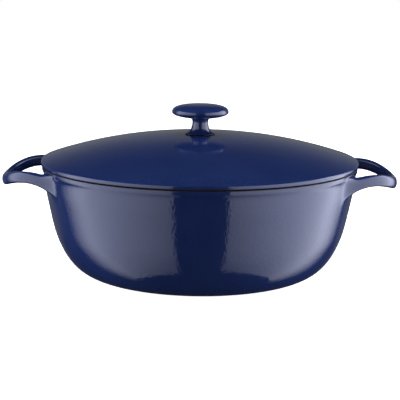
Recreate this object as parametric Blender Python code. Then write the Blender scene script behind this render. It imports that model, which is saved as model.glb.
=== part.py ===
"""Round covered casserole in enamelled cast iron, with a domed lid, a disc knob and two cast loop handles.

Run with: blender --background --python part.py, or from Blender's text editor.
Metres, +Z up. The origin is on the floor under the middle of the base, and the handles lie along X.
"""

import math

import bmesh
import bpy
from mathutils import Vector

# ---- Driving dimensions, in metres ----

CONTACT_GAP = 0.0003        # left between solids that touch

# Pot casting
RIM_RADIUS = 0.1490         # outside of the raised band at the rim
RIM_HEIGHT = 0.1045         # top of the rim above the floor
RIM_BAND = 0.0058           # height of the raised band
RIM_PROUD = 0.0014          # how far the band stands out from the wall
RIM_CORNER = 0.0009         # rounding of the rim's edges
WALL = 0.0045               # thickness of the side
BASE_THICKNESS = 0.0055
FOOT_RADIUS = 0.0950        # where the base starts to curve up
FOOT_WIDTH = 0.0075         # width of the flat ring that it stands on
FOOT_RECESS = 0.0012        # depth of the hollow inside the ring
BASE_SWEEP = 0.0245         # how far the base keeps flat before it turns up
WALL_SWEEP = 0.0760         # how far the side keeps its slope below the rim
WALL_LEAN = 0.0920          # inward lean of the side at the rim, per unit of height

# Handles, cast with the pot
HANDLE_REACH = 0.0380       # from the rim to the outside of the loop
HANDLE_HEIGHT = 0.0111      # of the bar, on edge
HANDLE_THICKNESS = 0.0062
HANDLE_ROOT_ANGLE = 23.6    # degrees from the X axis to each root
HANDLE_ROOT_DROP = 0.0172   # root's centre, below the rim's top
HANDLE_TIP_DROP = 0.0155    # loop's middle, below the rim's top
HANDLE_ARCH = 0.0220        # how steeply the arm rises from its root
HANDLE_ARM = 0.0340         # length that the arm keeps its first direction
HANDLE_TURN = 5.0           # degrees that the arm turns in from the X axis
HANDLE_BEND = 0.0398        # half of the loop's straight middle
ROOT_HEIGHT = 0.0140        # height of the gusset where the bar joins the wall
ROOT_THICKNESS = 0.0148
ROOT_LENGTH = 0.41          # share of each arm over which the gusset fades
BAR_SQUARENESS = 0.92       # of the bar's section: 1 is an oval, and less is squarer

# Lid
LID_OVERHANG = 0.0010       # how far its edge stands out past the pot's rim
LID_EDGE = 0.00375          # height of the upright edge
LID_CORNER = 0.0022         # rounding between the edge and the dome
LID_RISE = 0.0238           # of the dome above the upright edge
LID_CURVE = 2.17            # power of the dome's curve: 2 is a parabola
LID_THICKNESS = 0.0040
FLANGE_CLEARANCE = 0.0010   # between the flange and the inside of the rim
FLANGE_DEPTH = 0.0070
FLANGE_THICKNESS = 0.0035
PAD_RADIUS = 0.0125         # thickened pad round the screw's hole
PAD_THICKNESS = 0.0020

# Knob
KNOB_RADIUS = 0.0268
KNOB_FOOT_RADIUS = 0.0143
KNOB_FOOT_EDGE = 0.0007     # height of the foot's upright edge
KNOB_NECK_RADIUS = 0.0071
KNOB_NECK_HEIGHT = 0.0124
KNOB_FOOT_SWEEP = 0.60      # shares of the foot's flare that shape the stem's curve, low down
KNOB_STEM_SWEEP = 0.18      # and higher up
KNOB_STEM_RISE = 0.0046     # height of the higher one above the foot's edge
KNOB_NECK_ROOM = 1.15       # radius where the disc starts, over the neck's
KNOB_WIDEST_HEIGHT = 0.0181  # of the disc's widest line above the foot
KNOB_CROWN = 0.0098        # disc above its widest line
KNOB_BELLY = 0.0034         # disc below its widest line
KNOB_POWER = 3.4            # fullness of the disc's outline: 2 is an ellipse
KNOB_HOLE_DEPTH = 0.0150    # blind hole for the screw, from the foot up

# Screw and washers
SCREW_RADIUS = 0.0030
SCREW_CLEARANCE = 0.0003    # round the shank, in every hole that it passes
SCREW_END_ROOM = 0.0050     # between the screw's end and the bottom of the knob's hole
SCREW_END_CHAMFER = 0.0008
HEAD_RADIUS = 0.0056
HEAD_HEIGHT = 0.0036
HEAD_SIDE = 0.38            # share of the head's height that is upright
HEAD_CROWN = ((0.62, 0.06), (0.90, 0.30))  # the crown's curve, as shares of radius and height
SLOT_WIDTH = 0.0014
SLOT_DEPTH = 0.0018
FLAT_WASHER_RADIUS = 0.0090
FLAT_WASHER_THICKNESS = 0.0012
LOCK_WASHER_RADIUS = 0.0058
LOCK_WASHER_THICKNESS = 0.0016
LOCK_WASHER_GAP = 12.0      # degrees that the split takes

# Fineness of the faceted solids
SHARP_ANGLE = 35.0          # degrees between faces, over which an edge is drawn sharp
ROUND_STEPS = 64            # round the pot and the lid
SMALL_STEPS = 32            # round the knob, the screw and the washers
HANDLE_STEPS = 13           # stations from a root to the middle of the loop
HANDLE_SIDES = 14           # points round the bar
OUTSIDE_STEPS = 15          # up the pot's outside
INSIDE_STEPS = 13           # and up its inside
CORNER_STEPS = 3            # round each corner of the rim
DOME_STEPS = 9              # across the lid's top
DOME_SPACING = 0.75         # power that spaces them, finer towards the edge
UNDER_STEPS = 6             # across the lid's underside
UNDER_SPACING = 1.3
STEM_STEPS = 5              # up the knob's stem
DISC_STEPS = 6              # over each half of the knob's disc

# ---- Places that follow from the sizes above ----

LID_RADIUS = RIM_RADIUS + LID_OVERHANG
LID_BOTTOM = RIM_HEIGHT + CONTACT_GAP
LID_TOP = LID_BOTTOM + LID_EDGE + LID_RISE
PAD_BOTTOM = LID_TOP - LID_THICKNESS - PAD_THICKNESS
KNOB_BOTTOM = LID_TOP + CONTACT_GAP
FLAT_WASHER_TOP = PAD_BOTTOM - CONTACT_GAP
LOCK_WASHER_TOP = FLAT_WASHER_TOP - FLAT_WASHER_THICKNESS - CONTACT_GAP
HEAD_TOP = LOCK_WASHER_TOP - LOCK_WASHER_THICKNESS - CONTACT_GAP
SCREW_TOP = KNOB_BOTTOM + KNOB_HOLE_DEPTH - SCREW_END_ROOM
WALL_RADIUS = RIM_RADIUS - RIM_PROUD
SCREW_HOLE_RADIUS = SCREW_RADIUS + SCREW_CLEARANCE


# ---- Curves ----

def arc(centre_r, centre_z, radius, start, end, steps):
    """Points on an arc in the (r, z) plane, from start to end degrees."""
    angles = [math.radians(start + (end - start) * k / steps) for k in range(steps + 1)]
    return [(centre_r + radius * math.cos(a), centre_z + radius * math.sin(a)) for a in angles]


def bezier(controls, t):
    """The point and the direction at t on a cubic curve with four control points."""
    a, b, c, d = [Vector(p) for p in controls]
    u = 1.0 - t
    point = a * u**3 + b * (3 * u * u * t) + c * (3 * u * t * t) + d * t**3
    direction = (b - a) * (u * u) + (c - b) * (2 * u * t) + (d - c) * (t * t)
    return point, direction.normalized()


def side_controls():
    """Control points of the pot's outside, from the foot up to the rim's band."""
    top = Vector((WALL_RADIUS, RIM_HEIGHT - RIM_BAND))
    return (
        (FOOT_RADIUS, 0.0),
        (FOOT_RADIUS + BASE_SWEEP, 0.0),
        top - Vector((WALL_LEAN, 1.0)) * WALL_SWEEP,
        top,
    )


def outside_points(steps):
    return [tuple(bezier(side_controls(), k / steps)[0]) for k in range(steps + 1)]


def inside_points(steps):
    """The pot's inside: the outside moved in by the wall, and by the base where it is lower."""
    points = []
    for k in range(steps + 1):
        point, direction = bezier(side_controls(), k / steps)
        thickness = BASE_THICKNESS + (WALL - BASE_THICKNESS) * k / steps
        inward = Vector((-direction.y, direction.x)) * thickness
        points.append(tuple(point + inward))
    return points


def rim_inner_radius():
    return inside_points(1)[-1][0]


def dome_height(r):
    """Height of the lid's top surface at radius r."""
    return LID_TOP - LID_RISE * (r / LID_RADIUS) ** LID_CURVE


# ---- Mesh helpers ----

def mesh_object(name, bm, material):
    bmesh.ops.recalc_face_normals(bm, faces=bm.faces)
    mesh = bpy.data.meshes.new(name)
    bm.to_mesh(mesh)
    bm.free()
    mesh.shade_smooth()
    mesh.set_sharp_from_angle(angle=math.radians(SHARP_ANGLE))
    obj = bpy.data.objects.new(name, mesh)
    bpy.context.scene.collection.objects.link(obj)
    mesh.materials.append(material)
    return obj


def spun(name, outline, steps, material):
    """A turned solid. The outline is closed, or starts and ends on the axis."""
    bm = bmesh.new()
    verts = [bm.verts.new((r, 0.0, z)) for r, z in outline]
    on_axis = outline[0][0] == 0.0 and outline[-1][0] == 0.0
    pairs = list(zip(verts, verts[1:]))
    if not on_axis:
        pairs.append((verts[-1], verts[0]))
    edges = [bm.edges.new(pair) for pair in pairs]
    bmesh.ops.spin(
        bm,
        geom=verts + edges,
        cent=(0, 0, 0),
        axis=(0, 0, 1),
        angle=math.tau,
        steps=steps,
        use_merge=True,
    )
    bmesh.ops.remove_doubles(bm, verts=bm.verts, dist=1e-7)
    return mesh_object(name, bm, material)


def lofted(name, rings, material):
    """A bar through rings of points, with flat ends."""
    bm = bmesh.new()
    loops = [[bm.verts.new(p) for p in ring] for ring in rings]
    for first, second in zip(loops, loops[1:]):
        count = len(first)
        for k in range(count):
            j = (k + 1) % count
            bm.faces.new((first[k], first[j], second[j], second[k]))
    bm.faces.new(loops[0])
    bm.faces.new(loops[-1])
    return mesh_object(name, bm, material)


def helper(obj):
    """Marks an object as a cutter or a shape to join, which isn't a piece of its own."""
    obj.hide_render = True
    obj.display_type = "WIRE"
    return obj


def combine(obj, other, operation):
    modifier = obj.modifiers.new(operation.title() + "_" + other.name, "BOOLEAN")
    modifier.operation = operation
    modifier.solver = "EXACT"
    modifier.object = other


# ---- Materials ----

def surface(name, colour, roughness, metallic):
    material = bpy.data.materials.new(name)
    material.use_nodes = True
    shader = material.node_tree.nodes["Principled BSDF"]
    shader.inputs["Base Color"].default_value = (*colour, 1.0)
    shader.inputs["Roughness"].default_value = roughness
    shader.inputs["Metallic"].default_value = metallic
    material.diffuse_color = (*colour, 1.0)
    return material


def blue_enamel():
    return surface("blue_enamel", (0.012, 0.018, 0.090), 0.08, 0.0)


def zinc_steel():
    return surface("zinc_steel", (0.62, 0.62, 0.60), 0.35, 1.0)


# ---- Pot ----

def pot_outline():
    """The pot's outside as a full solid; the hollow is cut out of it."""
    foot_inner = FOOT_RADIUS - FOOT_WIDTH
    band_bottom = RIM_HEIGHT - RIM_BAND
    corner_r = RIM_RADIUS - RIM_CORNER
    outline = [(0.0, FOOT_RECESS), (foot_inner - FOOT_RECESS, FOOT_RECESS), (foot_inner, 0.0)]
    outline += outside_points(OUTSIDE_STEPS)
    outline += arc(corner_r, band_bottom + RIM_CORNER, RIM_CORNER, -70, 0, CORNER_STEPS)
    outline += arc(corner_r, RIM_HEIGHT - RIM_CORNER, RIM_CORNER, 0, 90, CORNER_STEPS)
    outline.append((0.0, RIM_HEIGHT))
    return outline


def hollow_outline():
    """The pot's inside, up past the rim, with the rim's inner edge eased."""
    inside = inside_points(INSIDE_STEPS)
    rim_r = rim_inner_radius()
    outline = [(0.0, BASE_THICKNESS)] + inside
    outline.append((rim_r, RIM_HEIGHT - RIM_CORNER))
    outline.append((rim_r + RIM_CORNER, RIM_HEIGHT))
    outline.append((rim_r + RIM_CORNER, RIM_HEIGHT + RIM_BAND))
    outline.append((0.0, RIM_HEIGHT + RIM_BAND))
    return outline


def handle_controls():
    """Control points of half of a handle's centre line, from its root to the loop's middle."""
    root_angle = math.radians(HANDLE_ROOT_ANGLE)
    turn = math.radians(HANDLE_TURN)
    buried = WALL_RADIUS - 2 * WALL
    tip_x = RIM_RADIUS + HANDLE_REACH - HANDLE_THICKNESS / 2
    tip_z = RIM_HEIGHT - HANDLE_TIP_DROP
    root = Vector((
        buried * math.cos(root_angle),
        WALL_RADIUS * math.sin(root_angle),
        RIM_HEIGHT - HANDLE_ROOT_DROP,
    ))
    along = Vector((math.cos(turn), -math.sin(turn), 0.0)) * HANDLE_ARM
    return (
        root,
        root + along + Vector((0.0, 0.0, HANDLE_ARCH)),
        Vector((tip_x, HANDLE_BEND, tip_z)),
        Vector((tip_x, 0.0, tip_z)),
    )


def bar_ring(point, direction, height, thickness):
    """A rounded upright section of the bar, square to its direction."""
    side = direction.cross(Vector((0, 0, 1))).normalized()
    up = side.cross(direction)
    ring = []
    for k in range(HANDLE_SIDES):
        angle = math.tau * (k + 0.5) / HANDLE_SIDES
        c, s = math.cos(angle), math.sin(angle)
        across = math.copysign(abs(c) ** BAR_SQUARENESS, c) * thickness / 2
        upward = math.copysign(abs(s) ** BAR_SQUARENESS, s) * height / 2
        ring.append(point + side * across + up * upward)
    return ring


def handle_shape(name, side, material):
    """One loop; side is 1 at +X and -1 at -X."""
    rings = []
    for k in range(-HANDLE_STEPS, HANDLE_STEPS + 1):
        t = 1.0 - abs(k) / HANDLE_STEPS
        point, direction = bezier(handle_controls(), t)
        flare = max(0.0, 1.0 - t / ROOT_LENGTH) ** 2
        if k > 0:
            point.y = -point.y
            direction = Vector((-direction.x, direction.y, -direction.z))
        height = HANDLE_HEIGHT + (ROOT_HEIGHT - HANDLE_HEIGHT) * flare
        thickness = HANDLE_THICKNESS + (ROOT_THICKNESS - HANDLE_THICKNESS) * flare
        ring = bar_ring(point, direction, height, thickness)
        rings.append([Vector((p.x * side, p.y * side, p.z)) for p in ring])
    return helper(lofted(name, rings, material))


def make_pot(material):
    pot = spun("pot", pot_outline(), ROUND_STEPS, material)
    combine(pot, handle_shape("right_handle_shape", 1, material), "UNION")
    combine(pot, handle_shape("left_handle_shape", -1, material), "UNION")
    hollow = helper(spun("pot_hollow", hollow_outline(), ROUND_STEPS, material))
    combine(pot, hollow, "DIFFERENCE")
    return pot


# ---- Lid ----

def lid_outline():
    lean_in = WALL_LEAN * max(0.0, FLANGE_DEPTH - RIM_BAND)
    flange_r = rim_inner_radius() - lean_in - FLANGE_CLEARANCE
    flange_inner = flange_r - FLANGE_THICKNESS
    flange_bottom = LID_BOTTOM - FLANGE_DEPTH
    corner_r = LID_RADIUS - LID_CORNER
    outline = []
    for k in range(DOME_STEPS + 1):
        share = (k / DOME_STEPS) ** DOME_SPACING
        r = SCREW_HOLE_RADIUS + (corner_r - SCREW_HOLE_RADIUS) * share
        outline.append((r, dome_height(r)))
    outline += arc(corner_r, dome_height(corner_r) - LID_CORNER, LID_CORNER, 60, 0, 2)
    outline.append((LID_RADIUS, LID_BOTTOM))
    outline.append((flange_r, LID_BOTTOM))
    outline.append((flange_r, flange_bottom))
    outline.append((flange_inner, flange_bottom))
    for k in range(UNDER_STEPS + 1):
        r = flange_inner + (PAD_RADIUS - flange_inner) * (k / UNDER_STEPS) ** UNDER_SPACING
        outline.append((r, dome_height(r) - LID_THICKNESS))
    outline.append((PAD_RADIUS, PAD_BOTTOM))
    outline.append((SCREW_HOLE_RADIUS, PAD_BOTTOM))
    return outline


def make_lid(material):
    return spun("lid", lid_outline(), ROUND_STEPS, material)


# ---- Knob ----

def disc_point(angle, half_height):
    """A point on the disc's full oval outline, with its widest line at height 0."""
    power = 2.0 / KNOB_POWER
    return (
        KNOB_RADIUS * math.cos(angle) ** power,
        half_height * math.sin(angle) ** power,
    )


def knob_outline():
    foot_top = KNOB_BOTTOM + KNOB_FOOT_EDGE
    neck_z = KNOB_BOTTOM + KNOB_NECK_HEIGHT
    widest_z = KNOB_BOTTOM + KNOB_WIDEST_HEIGHT
    flare = KNOB_FOOT_RADIUS - KNOB_NECK_RADIUS
    stem = (
        (KNOB_FOOT_RADIUS, foot_top),
        (KNOB_NECK_RADIUS + flare * KNOB_FOOT_SWEEP, foot_top),
        (KNOB_NECK_RADIUS + flare * KNOB_STEM_SWEEP, foot_top + KNOB_STEM_RISE),
        (KNOB_NECK_RADIUS, neck_z),
    )
    outline = [(SCREW_HOLE_RADIUS, KNOB_BOTTOM), (KNOB_FOOT_RADIUS, KNOB_BOTTOM)]
    outline += [tuple(bezier(stem, k / STEM_STEPS)[0]) for k in range(STEM_STEPS + 1)]
    start = math.acos((KNOB_NECK_ROOM * KNOB_NECK_RADIUS / KNOB_RADIUS) ** (KNOB_POWER / 2))
    for k in range(DISC_STEPS + 1):
        r, drop = disc_point(start * (1 - k / DISC_STEPS), KNOB_BELLY)
        outline.append((r, widest_z - drop))
    for k in range(1, DISC_STEPS):
        r, rise = disc_point(math.pi / 2 * k / DISC_STEPS, KNOB_CROWN)
        outline.append((r, widest_z + rise))
    outline.append((0.0, widest_z + KNOB_CROWN))
    outline.append((0.0, KNOB_BOTTOM + KNOB_HOLE_DEPTH))
    outline.append((SCREW_HOLE_RADIUS, KNOB_BOTTOM + KNOB_HOLE_DEPTH))
    return outline


def make_knob(material):
    outline = knob_outline()
    split = [k for k, (r, z) in enumerate(outline) if r == 0.0]
    turned = outline[split[1]:] + outline[:split[1]]
    return spun("knob", turned, SMALL_STEPS, material)


# ---- Screw and washers ----

def make_screw(material):
    head_bottom = HEAD_TOP - HEAD_HEIGHT
    outline = [(0.0, head_bottom)]
    outline += [(HEAD_RADIUS * r, head_bottom + HEAD_HEIGHT * h) for r, h in HEAD_CROWN]
    outline += [(HEAD_RADIUS, HEAD_TOP - HEAD_HEIGHT * HEAD_SIDE)]
    outline += [(HEAD_RADIUS, HEAD_TOP), (SCREW_RADIUS, HEAD_TOP)]
    outline += [(SCREW_RADIUS, SCREW_TOP - SCREW_END_CHAMFER)]
    outline += [(SCREW_RADIUS - SCREW_END_CHAMFER, SCREW_TOP), (0.0, SCREW_TOP)]
    screw = spun("knob_screw", outline, SMALL_STEPS, material)
    bm = bmesh.new()
    bmesh.ops.create_cube(bm, size=1.0)
    bmesh.ops.scale(bm, vec=(4 * HEAD_RADIUS, SLOT_WIDTH, 2 * SLOT_DEPTH), verts=bm.verts)
    bmesh.ops.translate(bm, vec=(0, 0, head_bottom), verts=bm.verts)
    combine(screw, helper(mesh_object("screw_slot", bm, material)), "DIFFERENCE")
    return screw


def make_flat_washer(material):
    bottom = FLAT_WASHER_TOP - FLAT_WASHER_THICKNESS
    outline = [
        (SCREW_HOLE_RADIUS, bottom),
        (FLAT_WASHER_RADIUS, bottom),
        (FLAT_WASHER_RADIUS, FLAT_WASHER_TOP),
        (SCREW_HOLE_RADIUS, FLAT_WASHER_TOP),
    ]
    return spun("flat_washer", outline, SMALL_STEPS, material)


def make_lock_washer(material):
    """A ring with a slot through it, its ends cut square."""
    rings = []
    steps = SMALL_STEPS - 1
    bottom = LOCK_WASHER_TOP - LOCK_WASHER_THICKNESS
    for k in range(steps + 1):
        turn = LOCK_WASHER_GAP / 2 + (360 - LOCK_WASHER_GAP) * k / steps
        c, s = math.cos(math.radians(turn)), math.sin(math.radians(turn))
        section = [
            (SCREW_HOLE_RADIUS, bottom),
            (LOCK_WASHER_RADIUS, bottom),
            (LOCK_WASHER_RADIUS, LOCK_WASHER_TOP),
            (SCREW_HOLE_RADIUS, LOCK_WASHER_TOP),
        ]
        rings.append([Vector((r * c, r * s, z)) for r, z in section])
    return lofted("lock_washer", rings, material)


# ---- Assembly ----

def make_lid_lift(pieces):
    """An empty on the lid's axis at the rim, which the lid and all that is fixed to it hang from."""
    lift = bpy.data.objects.new("lid_lift", None)
    lift.location = (0, 0, RIM_HEIGHT)
    lift.empty_display_size = 0.03
    bpy.context.scene.collection.objects.link(lift)
    bpy.context.view_layer.update()
    for piece in pieces:
        piece.parent = lift
        piece.matrix_parent_inverse = lift.matrix_world.inverted()


def main():
    for obj in list(bpy.data.objects):
        bpy.data.objects.remove(obj, do_unlink=True)
    enamel = blue_enamel()
    steel = zinc_steel()
    make_pot(enamel)
    lid = make_lid(enamel)
    knob = make_knob(enamel)
    screw = make_screw(steel)
    flat_washer = make_flat_washer(steel)
    lock_washer = make_lock_washer(steel)
    make_lid_lift([lid, knob, screw, flat_washer, lock_washer])


main()
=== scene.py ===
import math

import bmesh
import bpy
from mathutils import Matrix, Vector


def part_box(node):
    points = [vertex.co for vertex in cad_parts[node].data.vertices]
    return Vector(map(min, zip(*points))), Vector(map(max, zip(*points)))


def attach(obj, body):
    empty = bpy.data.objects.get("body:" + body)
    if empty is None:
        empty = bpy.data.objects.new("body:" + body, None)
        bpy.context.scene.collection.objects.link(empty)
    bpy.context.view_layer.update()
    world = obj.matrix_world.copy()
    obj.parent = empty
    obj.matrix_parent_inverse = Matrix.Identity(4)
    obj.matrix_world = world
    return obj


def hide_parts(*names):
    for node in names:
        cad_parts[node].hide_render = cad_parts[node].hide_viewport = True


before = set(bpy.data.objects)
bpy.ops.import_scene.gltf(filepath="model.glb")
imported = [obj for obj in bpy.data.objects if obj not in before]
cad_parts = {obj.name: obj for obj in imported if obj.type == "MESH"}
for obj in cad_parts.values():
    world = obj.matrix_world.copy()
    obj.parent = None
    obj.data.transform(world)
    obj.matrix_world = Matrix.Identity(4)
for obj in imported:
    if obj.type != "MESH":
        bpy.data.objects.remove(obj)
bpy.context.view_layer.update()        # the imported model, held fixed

print("frame loaded:", ", ".join(sorted(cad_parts)))

# Places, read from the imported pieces. The pot stands on z = 0 with its handles along x.
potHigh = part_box("pot")[1]
lidLow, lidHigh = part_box("lid")
knobLow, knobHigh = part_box("knob")
screwLow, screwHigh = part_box("knob_screw")
washerLow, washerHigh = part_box("flat_washer")
lockLow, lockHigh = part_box("lock_washer")

rimTop = potHigh.z
lidRadius = lidHigh.x
mm = 0.001


def along(points, t):
    # a point on the cubic curve with these four control points, and its direction
    a, b, c, d = [Vector(p) for p in points]
    u = 1.0 - t
    place = a * u**3 + b * (3 * u * u * t) + c * (3 * u * t * t) + d * t**3
    way = (b - a) * (u * u) + (c - b) * (2 * u * t) + (d - c) * (t * t)
    return place, way.normalized()


def atHeight(points, z):
    # where an upward curve of (r, z) points crosses this height
    low, high = 0.0, 1.0
    for _ in range(40):
        middle = (low + high) / 2
        if along(points, middle)[0].y < z:
            low = middle
        else:
            high = middle
    return (low + high) / 2


def addObject(name, bm, materials):
    bmesh.ops.recalc_face_normals(bm, faces=bm.faces)
    mesh = bpy.data.meshes.new(name)
    bm.to_mesh(mesh)
    bm.free()
    mesh.shade_smooth()
    for material in materials:
        mesh.materials.append(material)
    piece = bpy.data.objects.new(name, mesh)
    bpy.context.scene.collection.objects.link(piece)
    return piece


def smoothOnce(piece):
    step = piece.modifiers.new("smooth", "SUBSURF")
    step.levels = 1
    step.render_levels = 1
    return piece


def circle(bm, r, z, columns):
    # points round the axis, or the one point on it where r is 0
    if r == 0.0:
        return [bm.verts.new((0, 0, z))]
    turns = [math.tau * k / columns for k in range(columns)]
    return [bm.verts.new((r * math.cos(turn), r * math.sin(turn), z)) for turn in turns]


def skin(bm, here, there, k, finish=0):
    # one face between two rings of points, a triangle where a ring is only a point
    n = (k + 1) % max(len(here), len(there))
    if len(here) == 1:
        corners = (here[0], there[n], there[k])
    elif len(there) == 1:
        corners = (here[k], here[n], there[0])
    else:
        corners = (here[k], here[n], there[n], there[k])
    bm.faces.new(corners).material_index = finish


def turned(name, outline, columns, materials):
    # a turned piece from (r, z, finish) points; r = 0 closes on the axis, otherwise the outline joins up
    bm = bmesh.new()
    rows = [circle(bm, r, z, columns) for r, z, finish in outline]
    joined = outline[0][0] != 0.0
    for i in range(len(rows) if joined else len(rows) - 1):
        for k in range(columns):
            skin(bm, rows[i], rows[(i + 1) % len(rows)], k, outline[i][2])
    return smoothOnce(addObject(name, bm, materials))


def newFinish(name):
    finish = bpy.data.materials.new(name)
    finish.use_nodes = True
    tree = finish.node_tree
    shader = tree.nodes["Principled BSDF"]
    return finish, tree, shader


def addNode(tree, kind, inputs=None, **settings):
    node = tree.nodes.new(kind)
    for key, value in settings.items():
        setattr(node, key, value)
    for key, value in (inputs or {}).items():
        node.inputs[key].default_value = value
    return node


def noiseAt(tree, scale, detail=2.0, roughness=0.5):
    # noise in the piece's own metres
    place = addNode(tree, "ShaderNodeTexCoord")
    noise = addNode(tree, "ShaderNodeTexNoise", {"Scale": scale, "Detail": detail, "Roughness": roughness})
    tree.links.new(place.outputs["Object"], noise.inputs["Vector"])
    return noise.outputs["Fac"]


def remap(tree, value, low, high, start, end):
    node = addNode(tree, "ShaderNodeMapRange", {
        "From Min": low, "From Max": high, "To Min": start, "To Max": end,
    })
    tree.links.new(value, node.inputs["Value"])
    return node.outputs["Result"]


def blendColours(tree, factor, first, second):
    node = addNode(tree, "ShaderNodeMix", data_type="RGBA")
    node.inputs[6].default_value = (*first, 1)
    node.inputs[7].default_value = (*second, 1)
    tree.links.new(factor, node.inputs[0])
    return node.outputs[2]


def bumps(tree, shader, layers):
    # each layer is (height, distance in metres); they stack on the shader's normal
    normal = None
    for height, distance in layers:
        node = addNode(tree, "ShaderNodeBump", {"Strength": 1.0, "Distance": distance})
        tree.links.new(height, node.inputs["Height"])
        if normal:
            tree.links.new(normal, node.inputs["Normal"])
        normal = node.outputs["Normal"]
    tree.links.new(normal, shader.inputs["Normal"])


def glassEnamel(name, look):
    # fired glass over iron: deep colour under a clear surface with a slight orange-peel ripple
    finish, tree, shader = newFinish(name)
    pool = noiseAt(tree, look["poolScale"], 3.0)
    colour = blendColours(tree, remap(tree, pool, 0.35, 0.65, 0, 1), look["deep"], look["thin"])
    tree.links.new(colour, shader.inputs["Base Color"])
    cloud = noiseAt(tree, look["cloudScale"], 4.0)
    tree.links.new(remap(tree, cloud, 0.3, 0.7, *look["roughness"]), shader.inputs["Roughness"])
    shader.inputs["IOR"].default_value = look["ior"]
    bumps(tree, shader, [
        (noiseAt(tree, look["swellScale"], 0.0), look["swellDepth"]),
        (noiseAt(tree, look["rippleScale"], 1.0), look["rippleDepth"]),
        (noiseAt(tree, look["grainScale"], 2.0), look["grainDepth"]),
    ])
    return finish


def mattRim(name, look):
    # thin unglossed coat on the bare edges that meet
    finish, tree, shader = newFinish(name)
    speck = noiseAt(tree, look["scale"], 4.0)
    tree.links.new(blendColours(tree, remap(tree, speck, 0.4, 0.7, 0, 1), look["dark"], look["worn"]),
                   shader.inputs["Base Color"])
    tree.links.new(remap(tree, speck, 0.3, 0.7, *look["roughness"]), shader.inputs["Roughness"])
    shader.inputs["Specular IOR Level"].default_value = look["shine"]
    bumps(tree, shader, [(speck, look["depth"])])
    return finish


def turnedSteel(name, look):
    # zinc-plated steel with fine marks of the lathe round the axis
    finish, tree, shader = newFinish(name)
    place = addNode(tree, "ShaderNodeTexCoord")
    parts = addNode(tree, "ShaderNodeSeparateXYZ")
    tree.links.new(place.outputs["Object"], parts.inputs["Vector"])
    flat = addNode(tree, "ShaderNodeCombineXYZ")
    tree.links.new(parts.outputs["X"], flat.inputs["X"])
    tree.links.new(parts.outputs["Y"], flat.inputs["Y"])
    radius = addNode(tree, "ShaderNodeVectorMath", operation="LENGTH")
    tree.links.new(flat.outputs["Vector"], radius.inputs[0])
    line = addNode(tree, "ShaderNodeCombineXYZ")
    tree.links.new(radius.outputs["Value"], line.inputs["X"])
    tree.links.new(parts.outputs["Z"], line.inputs["Y"])
    marks = addNode(tree, "ShaderNodeTexNoise", {"Scale": look["markScale"], "Detail": 3.0})
    tree.links.new(line.outputs["Vector"], marks.inputs["Vector"])
    dull = noiseAt(tree, look["dullScale"], 4.0)
    tree.links.new(blendColours(tree, remap(tree, dull, 0.35, 0.7, 0, 1), look["bright"], look["dull"]),
                   shader.inputs["Base Color"])
    tree.links.new(remap(tree, dull, 0.3, 0.7, *look["roughness"]), shader.inputs["Roughness"])
    shader.inputs["Metallic"].default_value = 1.0
    bumps(tree, shader, [(marks.outputs["Fac"], look["markDepth"])])
    return finish


blueLook = {
    "deep": (0.0086, 0.0188, 0.084),
    "thin": (0.0104, 0.0220, 0.094),
    "poolScale": 28.0,
    "cloudScale": 90.0,
    "roughness": (0.045, 0.085),
    "ior": 1.52,
    "rippleScale": 400.0,     # about 2 to 3 mm from crest to crest
    "rippleDepth": 0.00009,
    "swellScale": 120.0,      # and a longer swell of about 8 mm
    "swellDepth": 0.00003,
    "grainScale": 1500.0,
    "grainDepth": 0.0000012,
}
creamLook = {
    "deep": (0.70, 0.62, 0.47),
    "thin": (0.76, 0.69, 0.55),
    "poolScale": 22.0,
    "cloudScale": 70.0,
    "roughness": (0.10, 0.17),
    "ior": 1.50,
    "rippleScale": 170.0,
    "rippleDepth": 0.000025,
    "swellScale": 60.0,
    "swellDepth": 0.00004,
    "grainScale": 1300.0,
    "grainDepth": 0.000002,
}
rimLook = {
    "dark": (0.004, 0.004, 0.005),
    "worn": (0.010, 0.010, 0.011),
    "roughness": (0.55, 0.75),
    "shine": 0.2,
    "scale": 900.0,
    "depth": 0.00001,
}
steelLook = {
    "bright": (0.62, 0.62, 0.60),
    "dull": (0.47, 0.475, 0.47),
    "roughness": (0.24, 0.38),
    "markScale": 4000.0,
    "markDepth": 0.000006,
    "dullScale": 320.0,
}

blueEnamel = glassEnamel("blueEnamel", blueLook)
creamEnamel = glassEnamel("creamEnamel", creamLook)
blackRim = mattRim("blackRim", rimLook)
zincSteel = turnedSteel("zincSteel", steelLook)
print("finishes mixed")


potShape = {
    "columns": 140,
    "rimOut": lidRadius - 1.0 * mm,     # outside of the raised band
    "bandHeight": 5.8 * mm,
    "bandProud": 1.4 * mm,
    "wall": 4.5 * mm,
    "baseThickness": 5.5 * mm,
    "footOut": 95.0 * mm,               # where the base starts to curve up
    "footWidth": 7.5 * mm,
    "footRecess": 1.2 * mm,
    "baseSweep": 24.5 * mm,             # how long the curve stays near the base's level
    "wallSweep": 76.0 * mm,             # and how long it hugs the upper wall
    "wallLean": 0.092,                  # outward run of the upper wall for each unit up
    "blackEdge": 0.95 * mm,             # how far the black of the rim comes down the outside
    "baseRows": (0.012, 0.034, 0.058, 0.076),               # radii of the base's rings, seen from below
    "sideRows": (0.03, 0.09, 0.16, 0.23, 0.30, 0.36, 0.42, 0.48, 0.54, 0.60, 0.66, 0.72),
    "insideRows": (1.0, 0.9, 0.8, 0.7, 0.62, 0.54, 0.47, 0.40, 0.33, 0.26, 0.19, 0.12, 0.05),
    "floorRows": (0.088, 0.076, 0.058, 0.034, 0.012),
    # drops below the rim's top, from the band down; the handles grow out between the first and the last
    "holeRows": (
        1.8 * mm, 3.8 * mm, 5.0 * mm, 6.2 * mm,
        8.4 * mm, 11.8 * mm, 15.8 * mm, 20.0 * mm, 24.3 * mm,
    ),
    "bandRows": 4,                      # how many of them lie on the band
    "holeColumns": 4,
}
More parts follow.
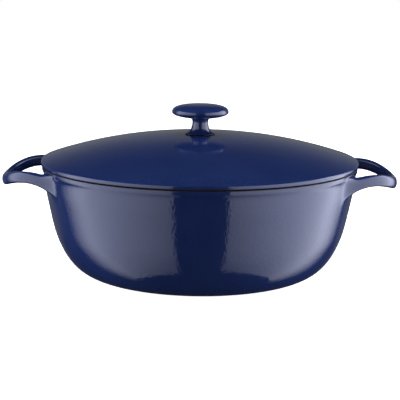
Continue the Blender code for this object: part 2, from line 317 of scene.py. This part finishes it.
handleShape = {
    "height": 11.1 * mm,
    "thickness": 6.2 * mm,
    "rootAngle": 23.6,                  # degrees from the x axis
    "rootDrop": 17.2 * mm,              # drops are from the rim's top to the middle of the bar
    "tipDrop": 15.5 * mm,
    "arch": 22.0 * mm,                  # lifts the bar between its root and its tip
    "arm": 34.0 * mm,                   # how far it runs outward before it turns in
    "turn": 5.0,                        # degrees by which the two arms lean towards each other
    "bend": 39.8 * mm,                  # half width of the loop's round end
    "gussetHeight": 14.0 * mm,
    "gussetThickness": 14.8 * mm,
    "gussetLength": 0.41,
    "fullness": 0.92,                   # below 1 squares the bar's section
    "leaves": 0.20,                     # share of the arm at which the bar stands clear of its fillet
    "swell": 1.012,                     # smoothing takes this much off the bar again
    "rings": 15,                        # round half of the loop
    "ringSpacing": 0.92,                # below 1 sets them closer towards the tip
    "filletRings": 3,
    "filletPull": (0.55, 0.95),         # how long the fillet hugs the wall, and the bar
}


def sideCurve():
    top = Vector((potShape["rimOut"] - potShape["bandProud"], rimTop - potShape["bandHeight"]))
    return (
        (potShape["footOut"], 0.0),
        (potShape["footOut"] + potShape["baseSweep"], 0.0),
        tuple(top - Vector((potShape["wallLean"], 1.0)) * potShape["wallSweep"]),
        tuple(top),
    )


def insidePoint(t):
    place, way = along(sideCurve(), t)
    thick = potShape["baseThickness"] + (potShape["wall"] - potShape["baseThickness"]) * t
    return place + Vector((-way.y, way.x)) * thick


def potRows():
    # (r, z, finish) from the middle of the base, up the outside, over the rim and down the inside
    blue, black, cream = 0, 1, 2
    s = potShape
    curve = sideCurve()
    footIn = s["footOut"] - s["footWidth"]
    wallTop = s["rimOut"] - s["bandProud"]
    rimIn = insidePoint(1.0).x
    rows = [(r, s["footRecess"], blue) for r in (0.0, *s["baseRows"], footIn - 2.6 * mm)]
    rows += [                           # foot ring, with bare iron where it stands
        (footIn - 1.2 * mm, s["footRecess"] - 0.15 * mm, blue),
        (footIn - 0.5 * mm, 0.35 * mm, black),
        (footIn + 0.3 * mm, 0.0, black),
        (footIn + 2.0 * mm, 0.0, black),
        (s["footOut"] - 0.8 * mm, 0.0, blue),
    ]
    rows += [(p.x, p.y, blue) for p in [along(curve, t)[0] for t in s["sideRows"]]]
    lowHole = len(rows)
    for drop in reversed(s["holeRows"][s["bandRows"]:]):
        z = rimTop - drop
        onWall = drop > s["bandHeight"] + 0.7 * mm
        rows.append((along(curve, atHeight(curve, z))[0].x if onWall else wallTop - 0.05 * mm, z, blue))
    # the band's face, then its eased lower edge and the step back to the wall
    bandOuts = (s["rimOut"], s["rimOut"], s["rimOut"] - 0.40 * mm, wallTop + 0.25 * mm)
    rows += [(r, rimTop - drop, blue) for r, drop in reversed(list(zip(bandOuts, s["holeRows"])))]
    highHole = len(rows) - 1
    rows += [                           # black rim, its two edges eased
        (s["rimOut"], rimTop - s["blackEdge"], black),
        (s["rimOut"] - 0.20 * mm, rimTop - 0.45 * mm, black),
        (s["rimOut"] - 0.95 * mm, rimTop, black),
        (s["rimOut"] - 2.4 * mm, rimTop, black),
        (rimIn + 1.7 * mm, rimTop, black),
        (rimIn + 0.65 * mm, rimTop - 0.02 * mm, black),
        (rimIn + 0.12 * mm, rimTop - 0.5 * mm, black),
    ]
    rows += [(rimIn, rimTop - 1.6 * mm, cream), (rimIn, rimTop - 3.4 * mm, cream)]
    rows += [(p.x, p.y, cream) for p in [insidePoint(t) for t in s["insideRows"]]]
    rows += [(r, s["baseThickness"], cream) for r in (*s["floorRows"], 0.0)]
    return rows, lowHole, highHole


def handleCurve():
    # the middle of the bar, from its root inside the wall to the tip on the x axis
    s = handleShape
    angle, turn = math.radians(s["rootAngle"]), math.radians(s["turn"])
    wallTop = potShape["rimOut"] - potShape["bandProud"]
    tipX, tipZ = potHigh.x - s["thickness"] / 2, rimTop - s["tipDrop"]
    root = Vector((
        (wallTop - 2 * potShape["wall"]) * math.cos(angle),
        wallTop * math.sin(angle),
        rimTop - s["rootDrop"],
    ))
    arm = Vector((math.cos(turn), -math.sin(turn), 0)) * s["arm"]
    arch = Vector((0, 0, s["arch"]))
    return root, root + arm + arch, Vector((tipX, s["bend"], tipZ)), Vector((tipX, 0, tipZ))


def barRing(t, mirrored, corners):
    # points round the bar at t along its half; mirrored is the half on the other side of the loop
    s = handleShape
    place, way = along(handleCurve(), t)
    flare = max(0.0, 1.0 - t / s["gussetLength"]) ** 2
    height = s["height"] + (s["gussetHeight"] - s["height"]) * flare
    thick = s["thickness"] + (s["gussetThickness"] - s["thickness"]) * flare
    side = way.cross(Vector((0, 0, 1))).normalized()
    up = side.cross(way)
    ring = []
    for u, v in corners:
        angle = math.atan2(v, u)
        c, z = math.cos(angle), math.sin(angle)
        across = math.copysign(abs(c) ** s["fullness"], c) * thick / 2 * s["swell"]
        upward = math.copysign(abs(z) ** s["fullness"], z) * height / 2 * s["swell"]
        p = place + side * across + up * upward
        ring.append(Vector((p.x, -p.y, p.z)) if mirrored else p)
    return ring, Vector((way.x, -way.y, way.z)) if mirrored else way


def wallNormal(p):
    # outward, across the wall below the band
    out = Vector((p.x, p.y, 0)).normalized()
    t = atHeight(sideCurve(), min(p.z, rimTop - potShape["bandHeight"] - 1 * mm))
    way = along(sideCurve(), t)[1]
    return (out * way.y - Vector((0, 0, way.x))).normalized()


def filletPoint(start, goal, way, h):
    # share h of the way along a fillet that leaves the wall at start and runs into the bar at goal
    wallPull, barPull = handleShape["filletPull"]
    span = goal - start
    normal = wallNormal(start)
    leave = span - normal * span.dot(normal)
    leave = leave.normalized() * span.length * wallPull if leave.length > 1e-6 else leave
    arrive = way * span.length * barPull
    h2, h3 = h * h, h * h * h
    return (start * (2 * h3 - 3 * h2 + 1) + leave * (h3 - 2 * h2 + h)
            + goal * (3 * h2 - 2 * h3) + arrive * (h3 - h2))


def turnEnd(p, end):
    # end is 1 for the handle at +x and -1 for the one at -x
    return Vector((p.x * end, p.y * end, p.z))


def growHalf(bm, edge, mirrored, end):
    # rings of points from the hole's edge along half of the loop; edge holds (vertex, u, v)
    s = handleShape
    corners = [((u if mirrored else -u), v) for vert, u, v in edge]
    first, way = barRing(s["leaves"], mirrored, corners)
    first = [turnEnd(p, end) for p in first]
    way = turnEnd(way, end)
    rings = [[vert for vert, u, v in edge]]
    for step in range(1, s["filletRings"] + 1):
        h = step / (s["filletRings"] + 1)
        between = [filletPoint(vert.co, goal, way, h) for vert, goal in zip(rings[0], first)]
        rings.append([bm.verts.new(p) for p in between])
    rings.append([bm.verts.new(p) for p in first])
    for k in range(1, s["rings"] + (0 if mirrored else 1)):
        t = s["leaves"] + (1 - s["leaves"]) * (k / s["rings"]) ** s["ringSpacing"]
        rings.append([bm.verts.new(turnEnd(p, end)) for p in barRing(t, mirrored, corners)[0]])
    return rings


def matched(a, b):
    # b's points in the order that lies closest to a's, going round once
    count = len(a)
    orders = [
        [b[(shift + way * k) % count] for k in range(count)]
        for shift in range(count) for way in (1, -1)
    ]
    return min(orders, key=lambda order: sum((p.co - q.co).length for p, q in zip(a, order)))


def makePot():
    s = potShape
    columns, wide = s["columns"], s["holeColumns"]
    rows, lowHole, highHole = potRows()
    bm = bmesh.new()
    grid = [circle(bm, r, z, columns) for r, z, finish in rows]
    # each hole starts at this column; the roots lie either side of the x axis at both ends
    rootColumn = round(handleShape["rootAngle"] / 360 * columns)
    middles = (rootColumn, -rootColumn, columns // 2 - rootColumn, columns // 2 + rootColumn)
    starts = [(middle - wide // 2) % columns for middle in middles]
    holes = {(start + k) % columns for start in starts for k in range(wide)}
    for i in range(len(rows) - 1):
        for k in range(columns):
            if not (lowHole <= i < highHole and k in holes):
                skin(bm, grid[i], grid[i + 1], k, rows[i][2])

    def holeEdge(start):
        # the hole's edge as (vertex, u, v): u runs along the columns and v up, both from -1 to 1
        tall = highHole - lowHole
        edge = [(0, j) for j in range(tall)] + [(k, tall) for k in range(wide)]
        edge += [(wide, tall - j) for j in range(tall)] + [(wide - k, 0) for k in range(wide)]
        return [
            (grid[lowHole + j][(start + k) % columns], 2 * k / wide - 1, 2 * j / tall - 1)
            for k, j in edge
        ]

    # each loop is a half on its own side of the x axis and a mirrored half, joined at the tip
    for end, plainStart, mirroredStart in ((1, starts[0], starts[1]), (-1, starts[3], starts[2])):
        halves = [
            growHalf(bm, holeEdge(plainStart), False, end),
            growHalf(bm, holeEdge(mirroredStart), True, end),
        ]
        tips = (halves[0][-1], matched(halves[0][-1], halves[1][-1]))
        for rings in (*halves, tips):
            for a, b in zip(rings, rings[1:]):
                for k in range(len(a)):
                    skin(bm, a, b, k)
    return smoothOnce(addObject("potBody", bm, [blueEnamel, blackRim, creamEnamel]))


pot = makePot()
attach(pot, "pot")
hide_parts("pot")
print("pot cast with its two handles")


lidShape = {
    "columns": 144,
    "edgeHeight": 3.75 * mm,
    "corner": 2.2 * mm,
    "curve": 2.17,
    "thickness": 4.0 * mm,
    "flangeGap": 1.0 * mm,
    "flangeThickness": 3.5 * mm,
    "padRadius": 12.5 * mm,
    "padThickness": 2.0 * mm,
    "hole": 3.3 * mm,
    "blackEdge": 0.60 * mm,
    "cornerAngles": (70, 52, 34, 16, 0),
    "domeRows": (0.05, 0.10, 0.16, 0.23, 0.30, 0.38, 0.46, 0.54, 0.62, 0.70, 0.78, 0.85, 0.91, 0.96, 0.985),
    "underRows": (0.08, 0.18, 0.30, 0.43, 0.56, 0.69, 0.81, 0.92),
    "flangeRun": 3.5 * mm,              # how far in from the flange the underside takes up the dome's curve
    "padRun": 2.5 * mm,                 # and how far out from the pad it ends
}


def makeLid():
    s = lidShape
    blue, black, cream = 0, 1, 2
    bottom = rimTop + 0.3 * mm
    top = lidHigh.z
    rise = top - bottom - s["edgeHeight"]

    def dome(r):
        return top - rise * (r / lidRadius) ** s["curve"]

    firstAngle = math.radians(s["cornerAngles"][0])
    centreR = lidRadius - s["corner"]
    startR = centreR + s["corner"] * math.cos(firstAngle)
    centreZ = dome(startR) - s["corner"] * math.sin(firstAngle)
    flangeOut = insidePoint(1.0).x - s["flangeGap"] - 0.11 * mm
    flangeIn = flangeOut - s["flangeThickness"]
    flangeLow = lidLow.z
    padLow = top - s["thickness"] - s["padThickness"]
    rows = [(s["hole"], top - 0.4 * mm, blue), (s["hole"] + 0.3 * mm, top, blue)]
    for share in s["domeRows"]:
        r = s["hole"] + (startR - s["hole"]) * share
        rows.append((r, dome(r), blue))
    for angle in s["cornerAngles"]:
        a = math.radians(angle)
        rows.append((centreR + s["corner"] * math.cos(a), centreZ + s["corner"] * math.sin(a), blue))
    rows += [                           # outer edge, and the black face that sits on the rim
        (lidRadius, bottom + 1.5 * mm, blue),
        (lidRadius, bottom + s["blackEdge"], black),
        (lidRadius - 0.22 * mm, bottom + 0.25 * mm, black),
        (lidRadius - 0.9 * mm, bottom, black),
        (lidRadius - 2.5 * mm, bottom, black),
        (flangeOut + 0.9 * mm, bottom, black),
    ]
    rows += [                           # down the flange's outside, round its edge and up its inside
        (flangeOut + 0.1 * mm, bottom - 0.12 * mm, cream),
        (flangeOut, bottom - 1.0 * mm, cream),
        (flangeOut, flangeLow + 1.4 * mm, cream),
        (flangeOut - 0.15 * mm, flangeLow + 0.4 * mm, cream),
        (flangeOut - 0.9 * mm, flangeLow, cream),
        (flangeIn + 0.9 * mm, flangeLow, cream),
        (flangeIn + 0.1 * mm, flangeLow + 0.4 * mm, cream),
        (flangeIn - 0.1 * mm, flangeLow + 1.6 * mm, cream),
    ]
    underStart, underEnd = flangeIn - s["flangeRun"], s["padRadius"] + s["padRun"]
    under = dome(underStart) - s["thickness"]
    rows += [(flangeIn - 0.7 * mm, under - 1.6 * mm, cream), (underStart, under - 0.15 * mm, cream)]
    for share in s["underRows"]:
        r = underStart + (underEnd - underStart) * share
        rows.append((r, dome(r) - s["thickness"], cream))
    rows += [                           # the pad round the screw's hole
        (s["padRadius"] + 2.2 * mm, padLow + s["padThickness"] - 0.1 * mm, cream),
        (s["padRadius"] + 0.9 * mm, padLow + 0.5 * s["padThickness"], cream),
        (s["padRadius"] - 0.3 * mm, padLow + 0.1 * mm, cream),
        (s["padRadius"] - 1.6 * mm, padLow, cream),
        (s["hole"] + 1.2 * mm, padLow, cream),
        (s["hole"] + 0.2 * mm, padLow + 0.05 * mm, black),
        (s["hole"], padLow + 0.5 * mm, black),
    ]
    return turned("lidDome", rows, s["columns"], [blueEnamel, blackRim, creamEnamel])


lid = makeLid()
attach(lid, "lid")
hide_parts("lid")
print("lid turned")


knobShape = {
    "columns": 96,
    "footRadius": 14.3 * mm,
    "footEdge": 0.45 * mm,
    "neckRadius": 7.1 * mm,
    "neckHeight": 12.4 * mm,            # heights are from the foot
    "sweep": (0.42, 0.08),              # shares of the foot's flare that shape the stem's curve
    "sweepRise": (0.35 * mm, 4.6 * mm),
    "widest": 20.4 * mm,
    "belly": 5.7 * mm,
    "crownFullness": 2.7,               # 2 rounds each half of the disc to an ellipse, and more squares it
    "bellyFullness": 2.1,
    "neckRoom": 1.15,                   # where the disc starts, over the neck's radius
    "hole": 3.3 * mm,
    "holeDepth": 15.0 * mm,
    "stemRows": (0.0, 0.10, 0.22, 0.35, 0.48, 0.60, 0.72, 0.84, 0.94),
    "bellyRows": 10,
    "crownRows": 12,
}


def makeKnob():
    s = knobShape
    blue, black = 0, 1
    low = knobLow.z
    radius = knobHigh.x
    widest = low + s["widest"]
    crown = knobHigh.z - widest
    flare = s["footRadius"] - s["neckRadius"]
    stem = (
        (s["footRadius"] - 0.1 * mm, low + s["footEdge"]),
        (s["neckRadius"] + flare * s["sweep"][0], low + s["footEdge"] + s["sweepRise"][0]),
        (s["neckRadius"] + flare * s["sweep"][1], low + s["footEdge"] + s["sweepRise"][1]),
        (s["neckRadius"], low + s["neckHeight"]),
    )
    crownPower, bellyPower = 2 / s["crownFullness"], 2 / s["bellyFullness"]
    rows = [(s["hole"], low + 0.5 * mm, black), (s["hole"] + 0.4 * mm, low, black)]
    rows += [(s["footRadius"] - 1.4 * mm, low, black), (s["footRadius"] - 0.25 * mm, low, blue)]
    rows += [(s["footRadius"], low + 0.2 * mm, blue)]
    for t in s["stemRows"]:
        p = along(stem, t)[0]
        rows.append((p.x, p.y, blue))
    start = math.acos((s["neckRoom"] * s["neckRadius"] / radius) ** (s["bellyFullness"] / 2))
    for k in range(s["bellyRows"]):
        angle = start * (1 - k / s["bellyRows"])
        r, drop = radius * math.cos(angle) ** bellyPower, s["belly"] * math.sin(angle) ** bellyPower
        rows.append((r, widest - drop, blue))
    for k in range(s["crownRows"]):
        angle = math.pi / 2 * k / s["crownRows"]
        r, lift = radius * math.cos(angle) ** crownPower, crown * math.sin(angle) ** crownPower
        rows.append((r, widest + lift, blue))
    rows.append((0.0, widest + crown, blue))
    inner = [(0.0, low + s["holeDepth"], black), (s["hole"] * 0.7, low + s["holeDepth"], black)]
    inner += [(s["hole"], low + s["holeDepth"] - 0.7 * mm, black), (s["hole"], low + 3 * mm, black)]
    return turned("lidKnob", inner + rows, s["columns"], [blueEnamel, blackRim])


knob = makeKnob()
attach(knob, "lid")
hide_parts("knob")
print("knob turned")


screwShape = {
    "columns": 48,
    "shank": 3.0 * mm,
    "pitch": 1.0 * mm,
    "threadDepth": 0.55 * mm,
    "rowsPerTurn": 8,
    "headHeight": 3.6 * mm,
    # the pan head from its crown to its seat, as shares of its radius and height
    "headProfile": (
        (0.25, 0.0), (0.45, 0.02), (0.64, 0.07), (0.80, 0.17), (0.91, 0.31), (0.975, 0.48), (1.0, 0.66),
        (1.0, 0.94), (0.97, 1.0), (0.75, 1.0),
    ),
    "slotWidth": 1.4 * mm,
    "slotDepth": 1.8 * mm,
}
washerShape = {"columns": 64, "hole": 3.3 * mm, "edge": 0.18 * mm}
lockShape = {
    "steps": 72,
    "hole": 3.3 * mm,
    "outside": 5.8 * mm,
    "edge": 0.15 * mm,
    "gap": 12.0,                        # degrees of the circle left open at the split
    "spring": 0.25 * mm,                # how far apart its two ends stand
}


def makeScrew():
    s = screwShape
    columns, shank = s["columns"], s["shank"]
    low, top, head = screwLow.z, screwHigh.z, screwHigh.x
    headTop = low + s["headHeight"]

    def plainRing(r, z):
        return [(r, z)] * columns

    rings = [plainRing(head * r, headTop - s["headHeight"] * (1 - h)) for r, h in s["headProfile"]]
    rings += [plainRing(shank + 0.15 * mm, headTop), plainRing(shank - 0.1 * mm, headTop + 0.3 * mm)]
    start, end = headTop + 1.2 * mm, top - 0.8 * mm
    z = start
    while z < end:
        fade = max(0.0, min(1.0, (z - start) / s["pitch"], (end - z) / (0.5 * s["pitch"])))
        ring = []
        for k in range(columns):
            wave = ((z - headTop) / s["pitch"] - k / columns) % 1.0
            ring.append((shank - s["threadDepth"] * abs(2 * wave - 1) * fade, z))
        rings.append(ring)
        z += s["pitch"] / s["rowsPerTurn"]
    rings += [plainRing(shank - 0.35 * mm, end), plainRing(shank - 0.8 * mm, top - 0.05 * mm)]
    rings.append(plainRing(shank - 1.4 * mm, top))
    bm = bmesh.new()
    turns = [math.tau * k / columns for k in range(columns)]
    loops = [
        [bm.verts.new((r * math.cos(turn), r * math.sin(turn), z)) for turn, (r, z) in zip(turns, ring)]
        for ring in rings
    ]
    loops = [circle(bm, 0.0, low, columns)] + loops + [circle(bm, 0.0, top, columns)]
    for a, b in zip(loops, loops[1:]):
        for k in range(columns):
            skin(bm, a, b, k)
    screw = addObject("knobScrew", bm, [zincSteel])
    slotBm = bmesh.new()
    bmesh.ops.create_cube(slotBm, size=1.0)
    size = (4 * head, s["slotWidth"], 2 * s["slotDepth"])
    bmesh.ops.scale(slotBm, vec=size, verts=slotBm.verts)
    bmesh.ops.translate(slotBm, vec=(0, 0, low), verts=slotBm.verts)
    cutter = addObject("screwSlot", slotBm, [zincSteel])
    cutter.hide_render = True
    cutter.hide_viewport = True
    cut = screw.modifiers.new("slot", "BOOLEAN")
    cut.operation = "DIFFERENCE"
    cut.object = cutter
    return screw


def makeFlatWasher():
    s = washerShape
    low, high, hole, out, e = washerLow.z, washerHigh.z, s["hole"], washerHigh.x, s["edge"]
    outline = [
        (hole, low + e), (hole + e, low), (hole + 3 * e, low),
        (out - 4 * e, low), (out - 1.5 * e, low), (out - 0.2 * e, low + 0.6 * e), (out, low + 2 * e),
        (out, high - 0.6 * e), (out - 0.6 * e, high), (out - 3 * e, high),
        (hole + 3 * e, high), (hole + e, high), (hole, high - e),
    ]
    return turned("flatWasher", [(r, z, 0) for r, z in outline], s["columns"], [zincSteel])


def makeLockWasher():
    # a split ring, its ends cut square and sprung a little apart
    s = lockShape
    hole, out, e, spring = s["hole"], s["outside"], s["edge"], s["spring"]
    bm = bmesh.new()
    loops = []
    for k in range(s["steps"] + 1):
        turn = math.radians(s["gap"] / 2 + (360 - s["gap"]) * k / s["steps"])
        lift = spring * (k / s["steps"])
        bottom, top = lockLow.z + lift, lockHigh.z - spring + lift
        section = [
            (hole + e, bottom), (out - e, bottom), (out, bottom + e), (out, top - e),
            (out - e, top), (hole + e, top), (hole, top - e), (hole, bottom + e),
        ]
        loops.append([bm.verts.new((r * math.cos(turn), r * math.sin(turn), z)) for r, z in section])
    for a, b in zip(loops, loops[1:]):
        for k in range(len(a)):
            skin(bm, a, b, k)
    bm.faces.new(loops[0])
    bm.faces.new(loops[-1])
    washer = addObject("lockWasher", bm, [zincSteel])
    washer.data.set_sharp_from_angle(angle=math.radians(30))
    return washer


fastenerPieces = (
    (makeScrew(), "knob_screw"),
    (makeFlatWasher(), "flat_washer"),
    (makeLockWasher(), "lock_washer"),
)
for piece, node in fastenerPieces:
    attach(piece, "lid_fastener")
    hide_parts(node)
print("screw and washers made")


floorLook = {
    "size": 6.0,
    "drop": 0.2 * mm,         # below the pot's foot, so that the two faces don't fight
    "white": 0.92,
    "glow": 0.97,
    "roughness": 0.9,
}


def makeFloor():
    bm = bmesh.new()
    half = floorLook["size"]
    corners = [bm.verts.new((x * half, y * half, 0)) for x, y in ((-1, -1), (1, -1), (1, 1), (-1, 1))]
    bm.faces.new(corners)
    finish, tree, shader = newFinish("paleFloor")
    white = floorLook["white"]
    shader.inputs["Base Color"].default_value = (white, white, white, 1)
    shader.inputs["Roughness"].default_value = floorLook["roughness"]
    shader.inputs["Specular IOR Level"].default_value = 0.0
    shader.inputs["Emission Color"].default_value = (1, 1, 1, 1)
    shader.inputs["Emission Strength"].default_value = floorLook["glow"]
    floor = addObject("floor", bm, [finish])
    floor.location.z = -floorLook["drop"]
    floor.visible_glossy = False
    floor.visible_diffuse = False
    floor.visible_shadow = False


skyLook = {
    "dark": 0.018,            # what the dark parts of the room reflect
    "pale": 0.40,             # and the pale wall and floor behind
    "tint": (0.93, 0.97, 1.0, 1),
    "span": 0.55,             # the ramp runs from this far below level to this far above
    "stops": ((0.14, 0.05), (0.24, 0.30), (0.40, 0.18), (0.46, 0.24), (0.50, 0.46), (0.52, 0.46)),
    "backEdge": 0.8,          # how far round to the back the wall reaches its full strength
}


def makeWorld():
    # white to the eye; for reflections a dark room with a pale wall low down behind
    world = bpy.data.worlds.new("studio")
    bpy.context.scene.world = world
    world.use_nodes = True
    tree = world.node_tree
    background = tree.nodes["Background"]
    output = next(n for n in tree.nodes if n.type == "OUTPUT_WORLD")
    place = addNode(tree, "ShaderNodeTexCoord")
    parts = addNode(tree, "ShaderNodeSeparateXYZ")
    tree.links.new(place.outputs["Generated"], parts.inputs["Vector"])
    low = remap(tree, parts.outputs["Z"], -skyLook["span"], skyLook["span"], 0, 1)
    ramp = addNode(tree, "ShaderNodeValToRGB")
    ramp.color_ramp.interpolation = "EASE"
    stops = ramp.color_ramp.elements
    stops[0].position, stops[0].color = 0.0, (0, 0, 0, 1)
    stops[1].position, stops[1].color = 1.0, (0, 0, 0, 1)
    for height, level in skyLook["stops"]:
        stops.new(height).color = (level, level, level, 1)
    tree.links.new(low, ramp.inputs["Fac"])
    back = remap(tree, parts.outputs["Y"], 0.0, skyLook["backEdge"], 0, 1)
    both = addNode(tree, "ShaderNodeMath", operation="MULTIPLY")
    tree.links.new(ramp.outputs["Color"], both.inputs[0])
    tree.links.new(back, both.inputs[1])
    level = remap(tree, both.outputs[0], 0, 1, skyLook["dark"], skyLook["pale"])
    tree.links.new(level, background.inputs["Strength"])
    background.inputs["Color"].default_value = skyLook["tint"]
    seen = addNode(tree, "ShaderNodeBackground", {"Color": (1, 1, 1, 1), "Strength": 1.0})
    path = addNode(tree, "ShaderNodeLightPath")
    mix = addNode(tree, "ShaderNodeMixShader")
    tree.links.new(path.outputs["Is Camera Ray"], mix.inputs[0])
    tree.links.new(background.outputs[0], mix.inputs[1])
    tree.links.new(seen.outputs[0], mix.inputs[2])
    tree.links.new(mix.outputs[0], output.inputs["Surface"])


panelLook = {
    "radius": 1.3,
    "steps": 48,
    # height and share of the light there
    "rows": ((-2.0, 0.28), (-1.5, 0.40), (-1.0, 0.58), (-0.5, 0.82), (0.0, 1.0), (0.5, 1.0), (1.05, 1.0)),
    "slant": 0.13,            # how much further out the near edge stands, per metre down
    "farSlant": 0.05,         # and how much further in the far one
    "tint": (0.98, 1.0, 1.17, 1),
    # azimuths: where it starts, where it begins to fade, and where it ends
    "left": {"azimuths": (-17.5, -92, -122), "near": 1.12, "far": 3.2, "rise": 0.8, "foot": 1.2},
    "right": {"azimuths": (19.5, 108, 140), "near": 1.38, "far": 4.5, "rise": 0.9, "foot": 1.0},
}


def curvedPanel(name, look):
    # a tall curved sheet of light round the front, brighter further out and dimmer towards its foot
    bm = bmesh.new()
    steps = panelLook["steps"]
    start, fade, end = look["azimuths"]
    levels = {}
    rows = []
    for z, dim in panelLook["rows"]:
        row = []
        near = start * (1 + panelLook["slant"] * max(0.0, -z))
        shrink = 1 - panelLook["farSlant"] * max(0.0, -z)
        z *= look["foot"] if z < 0 else 1
        for k in range(steps + 1):
            azimuth = near + (end * shrink - near) * k / steps
            share = max(0.0, min(1.0, (azimuth - start) / (fade - start))) ** look["rise"]
            past = max(0.0, (azimuth / shrink - fade) / (end - fade))
            level = (look["near"] + (look["far"] - look["near"]) * share) * (1 - past * past * (3 - 2 * past))
            a = math.radians(azimuth)
            vert = bm.verts.new((panelLook["radius"] * math.sin(a), -panelLook["radius"] * math.cos(a), z))
            levels[vert] = level * dim
            row.append(vert)
        rows.append(row)
    layer = bm.loops.layers.float_color.new("glow")
    for lower, upper in zip(rows, rows[1:]):
        for k in range(steps):
            face = bm.faces.new((lower[k], lower[k + 1], upper[k + 1], upper[k]))
            for loop in face.loops:
                loop[layer] = (levels[loop.vert],) * 3 + (1,)
    finish = bpy.data.materials.new(name)
    finish.use_nodes = True
    tree = finish.node_tree
    tree.nodes.clear()
    glow = addNode(tree, "ShaderNodeEmission", {"Color": panelLook["tint"]})
    level = addNode(tree, "ShaderNodeVertexColor", layer_name="glow")
    tree.links.new(level.outputs["Color"], glow.inputs["Strength"])
    output = addNode(tree, "ShaderNodeOutputMaterial")
    tree.links.new(glow.outputs[0], output.inputs["Surface"])
    mesh = bpy.data.meshes.new(name)
    bm.to_mesh(mesh)
    bm.free()
    mesh.materials.append(finish)
    panel = bpy.data.objects.new(name, mesh)
    bpy.context.scene.collection.objects.link(panel)
    panel.visible_camera = False
    panel.visible_diffuse = False
    panel.visible_shadow = False


lightAim = Vector((0, 0, 0.07))
fillLook = {
    "leftFill": {"place": (-1.5, -0.3, 0.08), "size": (1.2, 1.2), "power": 34},
    "rightFill": {"place": (1.5, -0.3, 0.08), "size": (1.2, 1.2), "power": 40},
    "frontFill": {"place": (0, -1.7, 0.05), "size": (1.2, 0.8), "power": 2},
    "topFill": {"place": (0, -0.2, 2.0), "size": (1.6, 1.6), "power": 39},
}


def softLight(name, look):
    data = bpy.data.lights.new(name, "AREA")
    data.shape = "RECTANGLE"
    data.size, data.size_y = look["size"]
    data.energy = look["power"]
    light = bpy.data.objects.new(name, data)
    bpy.context.scene.collection.objects.link(light)
    light.location = look["place"]
    light.rotation_euler = (lightAim - Vector(look["place"])).to_track_quat("-Z", "Y").to_euler()
    light.visible_glossy = False
    light.visible_camera = False


cameraPlace = {
    "lens": 117.0,
    "sensor": 36.0,
    "elevation": 9.04,        # degrees above level
    "distance": 1.2350,
    "roll": 0.0102,
    "targetRise": 0.2 * mm,   # over the rim
    "aim": (-0.00015, 0.02875, -1),     # sets the target a little above the middle of the frame
}


def makeCamera():
    s = cameraPlace
    data = bpy.data.cameras.new("camera")
    data.lens = s["lens"]
    data.sensor_width = s["sensor"]
    camera = bpy.data.objects.new("camera", data)
    bpy.context.scene.collection.objects.link(camera)
    bpy.context.scene.camera = camera
    height, roll = math.radians(s["elevation"]), s["roll"]
    target = Vector((0, 0, rimTop + s["targetRise"]))
    back = Vector((0, -math.cos(height), math.sin(height)))
    side = Vector((1, 0, 0))
    up = back.cross(side)
    right = side * math.cos(roll) + up * math.sin(roll)
    up = up * math.cos(roll) - side * math.sin(roll)
    aim = Vector(s["aim"]).normalized()
    lean = aim.rotation_difference(Vector((0, 0, -1))).to_matrix()
    turn = Matrix((right, up, back)).transposed() @ lean
    camera.matrix_world = Matrix.Translation(target + back * s["distance"]) @ turn.to_4x4()


makeFloor()
makeWorld()
curvedPanel("leftPanel", panelLook["left"])
curvedPanel("rightPanel", panelLook["right"])
for name, look in fillLook.items():
    softLight(name, look)
makeCamera()
bpy.context.scene.view_settings.view_transform = "Standard"
print("stage, light and camera set")
